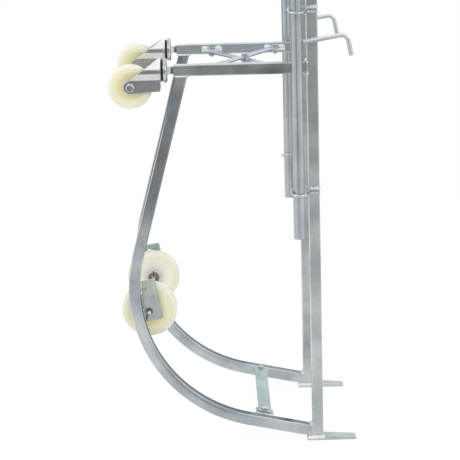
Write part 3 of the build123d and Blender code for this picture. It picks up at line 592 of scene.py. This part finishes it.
finishOf = {
    "handle": handleZinc, "handle_rests": plateZinc, "brace_tabs": tabLitZinc,
    "brace_strip_upper": stripZinc, "brace_strip_lower": stripZinc, "brace_spacer": boltZinc,
    "strap_tabs": strapZinc, "lower_strap": strapZinc, "cross_bolts": boltZinc, "cross_nuts": boltZinc,
    "upright": uprightZinc, "upright_cap": capPlastic, "top_bar": barZinc, "rocker": rockerZinc,
    "toe_plate": plateZinc, "rim_hook": hookZinc, "lower_loop": rodZinc, "upper_loop": rodZinc,
    "wheel_bracket": bracketZinc, "wheel": wheelNylon, "wheel_bush": bushSteel, "wheel_axle": boltZinc,
    "axle_washers": bushSteel, "split_pins": pinSteel, "caster_plug": plugSteel, "caster_stem": boltZinc,
    "caster_lock_nut": boltZinc, "caster_head": headZinc, "caster_race": raceSteel,
    "caster_fork": forkZinc, "caster_wheel": casterNylon, "caster_bush": bushSteel,
    "caster_axle_bolt": boltZinc, "caster_axle_nut": nutZinc,
    "far_top_bar": farBarLitZinc, "far_rocker": farRockerZinc, "far_wheel_bracket": strapZinc,
    "far_wheel": farWheelLitNylon,
}
for name, node in nodes.items():
    side, _, rest = name.partition("_")
    plain = rest if side in sides else name
    node.data.materials.clear()
    node.data.materials.append(finishOf[name] if name in finishOf else finishOf[plain])
print("finishes on", len(nodes), "nodes")


weldSet = {
    "bead": 2.5 * mm, "fineBead": 1.5 * mm, "fatBead": 4.0 * mm, "loopBead": 4.4 * mm, "lump": 6.0 * mm,
    "pitch": 1.6 * mm, "unevenness": 0.16, "groundUnevenness": 0.03, "seed": 4,
    "segments": 8, "rings": 5, "squat": 0.75,  # of one ripple
    "sink": 1.0 * mm,  # of a seam's bead into flush faces
    "inset": 2.0 * mm,  # of a bead's ends from the corners
    "flush": 2.3 * mm, "seamIn": 1.0 * mm,  # of a ground seam's bead into its faces and into the upright
    "footLump": 6.5 * mm, "footSink": 6.0 * mm, "footBead": 5.0 * mm, "footOut": 1.5 * mm,
    "footLead": 8.0 * mm,  # the foot's bead starts under the rocker
    "hookLift": 44 * mm, "hookRise": 15 / 92, "hookTail": 7 * mm,
    "hookGap": 3.6 * mm, "hookOut": 0.8 * mm,
    "wireGap": 2.6 * mm, "legOut": 0.6 * mm, "legLift": 3 * mm, "loopOut": 2.5 * mm, "loopDrop": 4 * mm,
    "tabPlaces": (80 * mm, 230 * mm), "tabHalf": 24 * mm, "tabThick": 4 * mm,
    "tabLump": 5.0 * mm, "tabRise": 1.5 * mm, "tabLumpSpan": (0.85, 0.5),
    "strapPlace": 112 * mm, "strapHalf": 20 * mm, "strapShare": 0.9,
    "bracketArcs": ((9.0, 13.2), (-3.0, 2.0)), "bracketIn": 0.4 * mm, "arcSteps": 6,
}


# Each run is a list of points, with its bead's radius
def weldRuns(s):
    front, rear = outerY + s["inset"], innerY - s["inset"]
    left, right = backX + s["inset"], faceX - s["inset"]
    bead, fat = s["bead"], s["fatBead"]
    tubeHalf = rockerSet["tube"] / 2
    runs = []
    for z in (barLow.z, barHigh.z):  # bar on the upright
        runs.append((bead, [(backX, front, z), (backX, rear, z)]))
    for y in (outerY + s["sink"], innerY - s["sink"]):  # rocker under the bar
        runs.append((bead, [(rockLeft, y, barLow.z), (rockRight, y, barLow.z)]))
    for radius, x in ((bead, rockLeft), (fat, rockRight)):
        runs.append((radius, [(x, front + radius, barLow.z), (x, rear - radius, barLow.z)]))
    runs.append((bead, [(faceX, front, toeTop), (faceX, rear, toeTop)]))  # upright on the toe plate
    hookZ = barHigh.z + s["hookLift"]
    for gap in (-s["hookGap"], s["hookGap"]):  # hook's tail on the upright
        rises = [(x, (x - backX + s["hookTail"]) * s["hookRise"]) for x in (left, right)]
        runs.append((bead, [(x, outerY - s["hookOut"], hookZ + rise + gap) for x, rise in rises]))
    for place in s["tabPlaces"]:  # brace tabs on the bar
        middle = faceX - place
        ends = (middle - s["tabHalf"] + s["inset"], middle + s["tabHalf"] - s["inset"])
        for z in (tabTop, tabTop - s["tabThick"]):
            runs.append((fat, [(x, innerY, z) for x in ends]))
    shares = (-s["strapShare"], s["strapShare"])
    for above in (tubeHalf - s["sink"], tubeHalf - s["tabThick"]):  # strap tab on the rocker
        places = [s["strapPlace"] + share * s["strapHalf"] for share in shares]
        runs.append((bead, [alongRun(place, above, innerY) for place in places]))
    inside = rockerSet["radius"] - tubeHalf
    for start, end in s["bracketArcs"]:  # wheel bracket inside the bend
        turns = [start + (end - start) * i / s["arcSteps"] for i in range(s["arcSteps"] + 1)]
        runs.append((bead, [onRocker(inside, turn, innerY - s["bracketIn"]) for turn in turns]))
    return runs


# Rougher welds, which look paler
def paleRuns(s):
    left, right = backX + s["inset"], faceX - s["inset"]
    runs = []
    for y in (outerY + s["sink"], innerY - s["sink"]):
        for z in (barLow.z, barHigh.z):  # lumps where the bar's ground seam starts and ends
            runs.append((s["lump"], [(backX, y, z), (backX + s["sink"], y, z)]))
    shelf = toeTop + footRise  # upright on the rocker's foot
    ends = (outerY + s["footSink"], innerY - s["footSink"])
    runs.append((s["footLump"], [(backX, y, shelf) for y in ends]))
    edge = toeTop - s["sink"]
    for y in (outerY - s["footOut"], innerY + s["footOut"]):  # upright and rocker on the toe plate's edge
        runs.append((s["footBead"], [(backX - s["footLead"], y, edge), (faceX, y, edge)]))
    tabY, tabZ = innerY + s["tabLump"] / 2, tabTop + s["tabRise"]
    for place in s["tabPlaces"]:  # lumps at both ends of a brace tab
        for end in (-s["tabHalf"], s["tabHalf"]):
            points = [(faceX - place + end * share, tabY, tabZ) for share in s["tabLumpSpan"]]
            runs.append((s["tabLump"], points))
    for loop in ("near_lower_loop", "near_upper_loop"):  # wire loops, the upper leg buried in its weld
        low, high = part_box(loop)
        legZ = low.z + s["legLift"]
        legs = [(s["fineBead"], s["legOut"], legZ + gap) for gap in (-s["wireGap"], s["wireGap"])]
        legs.append((s["loopBead"], s["loopOut"], high.z - s["loopDrop"]))
        for radius, out, z in legs:
            runs.append((radius, [(left, outerY - out, z), (right, outerY - out, z)]))
    return runs


# Seams on flush faces, ground level
def groundRuns(s):
    x = backX + s["seamIn"]
    runs = []
    for y in (outerY + s["flush"], innerY - s["flush"]):
        for low, high in ((toeTop, toeTop + footRise), (barLow.z, barHigh.z)):
            runs.append((s["bead"], [(x, y, low + s["inset"]), (x, y, high - s["inset"])]))
    return runs


# A weld bead: overlapping ripples along each path, uneven in size
def beadTree(s):
    tree = bpy.data.node_groups.new("weldBead", "GeometryNodeTree")
    tree.interface.new_socket("Geometry", in_out="INPUT", socket_type="NodeSocketGeometry")
    inputs = {"Ripple Pitch": "Float", "Unevenness": "Float", "Seed": "Int", "Finish": "Material"}
    for name, kind in inputs.items():
        tree.interface.new_socket(name, in_out="INPUT", socket_type="NodeSocket" + kind)
    tree.interface.new_socket("Geometry", in_out="OUTPUT", socket_type="NodeSocketGeometry")
    entry = addNode(tree, "NodeGroupInput").outputs
    width = addNode(tree, "GeometryNodeInputNamedAttribute", {"data_type": "FLOAT", "Name": "beadRadius"})
    path = addNode(tree, "GeometryNodeMeshToCurve", links={"Mesh": entry["Geometry"]})
    spots = addNode(tree, "GeometryNodeCurveToPoints", {
        "mode": "LENGTH",
    }, {"Curve": path, "Length": entry["Ripple Pitch"]}).outputs
    ripple = addNode(tree, "GeometryNodeMeshUVSphere", {
        "Segments": s["segments"], "Rings": s["rings"], "Radius": 1.0,
    })
    squat = addNode(tree, "GeometryNodeTransform", {
        "Scale": (1.0, 1.0, s["squat"]),
    }, {"Geometry": ripple})
    low = addNode(tree, "ShaderNodeMath", {"operation": "SUBTRACT", 0: 1.0}, {1: entry["Unevenness"]})
    high = addNode(tree, "ShaderNodeMath", {"operation": "ADD", 0: 1.0}, {1: entry["Unevenness"]})
    chance = addNode(tree, "FunctionNodeRandomValue", {
        "data_type": "FLOAT",
    }, {randomLow: low, randomHigh: high, "Seed": entry["Seed"]})
    size = addNode(tree, "ShaderNodeMath", {"operation": "MULTIPLY"}, {0: width, 1: chance})
    beads = addNode(tree, "GeometryNodeInstanceOnPoints", links={
        "Points": spots["Points"], "Instance": squat, "Rotation": spots["Rotation"], "Scale": size,
    })
    solid = addNode(tree, "GeometryNodeRealizeInstances", links={"Geometry": beads})
    smooth = addNode(tree, "GeometryNodeSetShadeSmooth", links={"Geometry": solid})
    finish = addNode(tree, "GeometryNodeSetMaterial", links={
        "Geometry": smooth, "Material": entry["Finish"],
    })
    addNode(tree, "NodeGroupOutput", links={"Geometry": finish})
    return tree


def setInput(modifier, name, value):
    for item in modifier.node_group.interface.items_tree:
        if item.item_type == "SOCKET" and item.in_out == "INPUT" and item.name == name:
            modifier[item.identifier] = value


def meshFromNodes(name, source, tree, inputs):
    scene.collection.objects.link(source)
    modifier = source.modifiers.new("nodes", "NODES")
    modifier.node_group = tree
    for key, value in inputs.items():
        setInput(modifier, key, value)
    ready = source.evaluated_get(bpy.context.evaluated_depsgraph_get())
    mesh = bpy.data.meshes.new_from_object(ready)
    source.modifiers.remove(modifier)
    bpy.data.objects.remove(source)
    piece = bpy.data.objects.new(name, mesh)
    scene.collection.objects.link(piece)
    return piece


def pathMesh(name, runs):
    points, edges, widths = [], [], []
    for radius, run in runs:
        start = len(points)
        points += run
        widths += [radius] * len(run)
        edges += [(start + i, start + i + 1) for i in range(len(run) - 1)]
    mesh = bpy.data.meshes.new(name)
    mesh.from_pydata(points, edges, [])
    mesh.attributes.new("beadRadius", "FLOAT", "POINT").data.foreach_set("value", widths)
    return bpy.data.objects.new(name, mesh)


def bothSides(nearRuns):
    runs = []
    for side in sides.values():
        runs += [(radius, [(x, y * side, z) for x, y, z in run]) for radius, run in nearRuns]
    return runs


handleLow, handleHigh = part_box("handle")
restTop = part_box("handle_rests")[1].z
handleSet = {"radius": 12.5 * mm, "steps": 20}


# The ring around one leg of the handle, on top of its rest
def ringRun(side, s):
    radius = s["radius"]
    middleX = (handleLow.x + handleHigh.x) / 2
    middleY = (handleLow.y + radius) * side
    turns = [2 * math.pi * i / s["steps"] for i in range(s["steps"] + 1)]
    return [(middleX + radius * math.cos(t), middleY + radius * math.sin(t), restTop) for t in turns]


beads = beadTree(weldSet)
beadInputs = {
    "Ripple Pitch": weldSet["pitch"], "Unevenness": weldSet["unevenness"], "Seed": weldSet["seed"],
    "Finish": weldZinc,
}
framePaths = pathMesh("frameWeldPaths", bothSides(weldRuns(weldSet)))
frameWelds = meshFromNodes("frameWelds", framePaths, beads, beadInputs)
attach(frameWelds, "frame")
palePaths = pathMesh("paleWeldPaths", bothSides(paleRuns(weldSet)))
paleWelds = meshFromNodes("paleWelds", palePaths, beads, {**beadInputs, "Finish": paleWeldZinc})
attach(paleWelds, "frame")
groundInputs = {**beadInputs, "Unevenness": weldSet["groundUnevenness"], "Finish": uprightZinc}
groundPaths = pathMesh("groundSeamPaths", bothSides(groundRuns(weldSet)))
groundSeams = meshFromNodes("groundSeams", groundPaths, beads, groundInputs)
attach(groundSeams, "frame")
handleRuns = [(weldSet["fineBead"], ringRun(side, handleSet)) for side in sides.values()]
handlePaths = pathMesh("handleWeldPaths", handleRuns)
handleWelds = meshFromNodes("handleWelds", handlePaths, beads, beadInputs)
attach(handleWelds, "handle_body")
weldPieces = (frameWelds, paleWelds, groundSeams, handleWelds)
print("welds:", sum(len(piece.data.polygons) for piece in weldPieces), "faces")

# Studio: a pale floor that ends in front of the object, a white room behind and above, and a dim one behind
# the camera
roomSet = {
    "floorFront": -2.3, "floorBack": 2.3, "floorSide": 6.0, "floorDrop": 0.5 * mm, "paper": "#f4f4f4",
    "floorDim": 0.9, "floorLight": 0.97, "floorLightFrom": -0.7, "floorSeen": 1.04, "shadow": 0.13,
    "gapPlace": -0.1, "gapHalf": 0.325, "gapDim": 0.24, "sideDim": 0.72,  # a darker gap behind the camera
    "ceiling": 0.9, "ceilingSpan": (0.02, 0.45),
    "backDim": 0.45, "backSpan": (-0.75, 0.1), "horizon": 0.08,
}


# Rays that see the paper find mostly an even glow, so only faint shadows show on it
def paleFloor(s):
    material, tree = newMaterial("palePaper")
    rays = addNode(tree, "ShaderNodeLightPath").outputs
    coord = addNode(tree, "ShaderNodeTexCoord").outputs["Object"]
    depth = addNode(tree, "ShaderNodeSeparateXYZ", links={0: coord}).outputs["Y"]
    fade = addNode(tree, "ShaderNodeMapRange", {
        "interpolation_type": "SMOOTHSTEP",
        fromSpan: (s["floorFront"], s["floorLightFrom"]), toSpan: (s["floorDim"], s["floorLight"]),
    }, {"Value": depth})
    paper = addNode(tree, "ShaderNodeBsdfDiffuse", {"Color": linearFromHex(s["paper"])})
    bare = addNode(tree, "ShaderNodeMath", {
        "operation": "MULTIPLY", 1: s["floorSeen"],
    }, {0: rays["Is Camera Ray"]})
    bright = addNode(tree, "ShaderNodeMath", {"operation": "MAXIMUM"}, {0: fade, 1: bare})
    glow = addNode(tree, "ShaderNodeEmission", links={"Strength": bright})
    seen = addNode(tree, "ShaderNodeMath", {
        "operation": "MAXIMUM",
    }, {0: rays["Is Camera Ray"], 1: rays["Is Glossy Ray"]})
    clear = addNode(tree, "ShaderNodeMath", {
        "operation": "MAXIMUM",
    }, {0: seen, 1: rays["Is Transmission Ray"]})
    share = addNode(tree, "ShaderNodeMath", {"operation": "MULTIPLY", 1: 1 - s["shadow"]}, {0: clear})
    mix = addNode(tree, "ShaderNodeMixShader", links={0: share, 1: paper, 2: glow})
    addNode(tree, "ShaderNodeOutputMaterial", links={"Surface": mix})
    mesh = bpy.data.meshes.new("paperFloor")
    wide, front, back = s["floorSide"], s["floorFront"], s["floorBack"]
    corners = [(-wide, front, 0), (wide, front, 0), (wide, back, 0), (-wide, back, 0)]
    mesh.from_pydata(corners, [], [(0, 1, 2, 3)])
    mesh.materials.append(material)
    floor = bpy.data.objects.new("paperFloor", mesh)
    floor.location.z = -s["floorDrop"]
    scene.collection.objects.link(floor)


# A ray's way is X to the right, Y away from the camera and Z up
def whiteRoom(s):
    world = bpy.data.worlds.new("whiteRoom")
    scene.world = world
    world.use_nodes = True
    tree = world.node_tree
    tree.nodes.clear()
    rays = addNode(tree, "ShaderNodeLightPath").outputs
    way = addNode(tree, "ShaderNodeTexCoord").outputs["Generated"]
    ray = addNode(tree, "ShaderNodeSeparateXYZ", links={0: way}).outputs
    aside = addNode(tree, "ShaderNodeMath", {"operation": "SUBTRACT", 1: s["gapPlace"]}, {0: ray["X"]})
    apart = addNode(tree, "ShaderNodeMath", {"operation": "ABSOLUTE"}, {0: aside})
    dim = addNode(tree, "ShaderNodeMapRange", {
        "From Max": s["gapHalf"], toSpan: (s["gapDim"], s["sideDim"]),
    }, {"Value": apart})
    above = addNode(tree, "ShaderNodeMapRange", {
        "interpolation_type": "SMOOTHSTEP", fromSpan: s["ceilingSpan"],
    }, {"Value": ray["Z"]})
    behind = addNode(tree, "ShaderNodeMapRange", {
        "interpolation_type": "SMOOTHSTEP", fromSpan: s["backSpan"],
    }, {"Value": ray["Y"]})
    lifted = addNode(tree, "ShaderNodeMix", {valueTo: s["ceiling"]}, {mixShare: above, valueFrom: dim})
    under = addNode(tree, "ShaderNodeMapRange", {fromSpan: (0.0, -s["horizon"])}, {"Value": ray["Z"]})
    back = addNode(tree, "ShaderNodeMapRange", {
        fromSpan: (0.0, s["horizon"]), toSpan: (1.0, s["backDim"]),
    }, {"Value": ray["Y"]})
    far = addNode(tree, "ShaderNodeMix", {valueFrom: 1.0}, {mixShare: under, valueTo: back})
    level = addNode(tree, "ShaderNodeMix", links={mixShare: behind, valueFrom: lifted, valueTo: far})
    shown = addNode(tree, "ShaderNodeMath", {
        "operation": "MAXIMUM",
    }, {0: level, 1: rays["Is Camera Ray"]})
    sky = addNode(tree, "ShaderNodeBackground", {"Color": (1, 1, 1, 1)}, {"Strength": shown})
    addNode(tree, "ShaderNodeOutputWorld", links={"Surface": sky})


lampSet = {
    "keyLamp": {"place": (-1.9, -2.6, 3.0), "aim": (0.0, 0.0, 0.55), "size": 1.8, "watts": 29},
    "fillLamp": {"place": (2.4, -2.2, 2.2), "aim": (0.0, 0.0, 0.5), "size": 1.6, "watts": 14},
}


def addLamp(name, s):
    data = bpy.data.lights.new(name, "AREA")
    data.energy = s["watts"]
    data.size = s["size"]
    lamp = bpy.data.objects.new(name, data)
    lamp.location = s["place"]
    lamp.rotation_euler = (Vector(s["aim"]) - Vector(s["place"])).to_track_quat("-Z", "Y").to_euler()
    scene.collection.objects.link(lamp)


paleFloor(roomSet)
whiteRoom(roomSet)
for name, s in lampSet.items():
    addLamp(name, s)
scene.view_settings.view_transform = "Standard"
print("studio set")
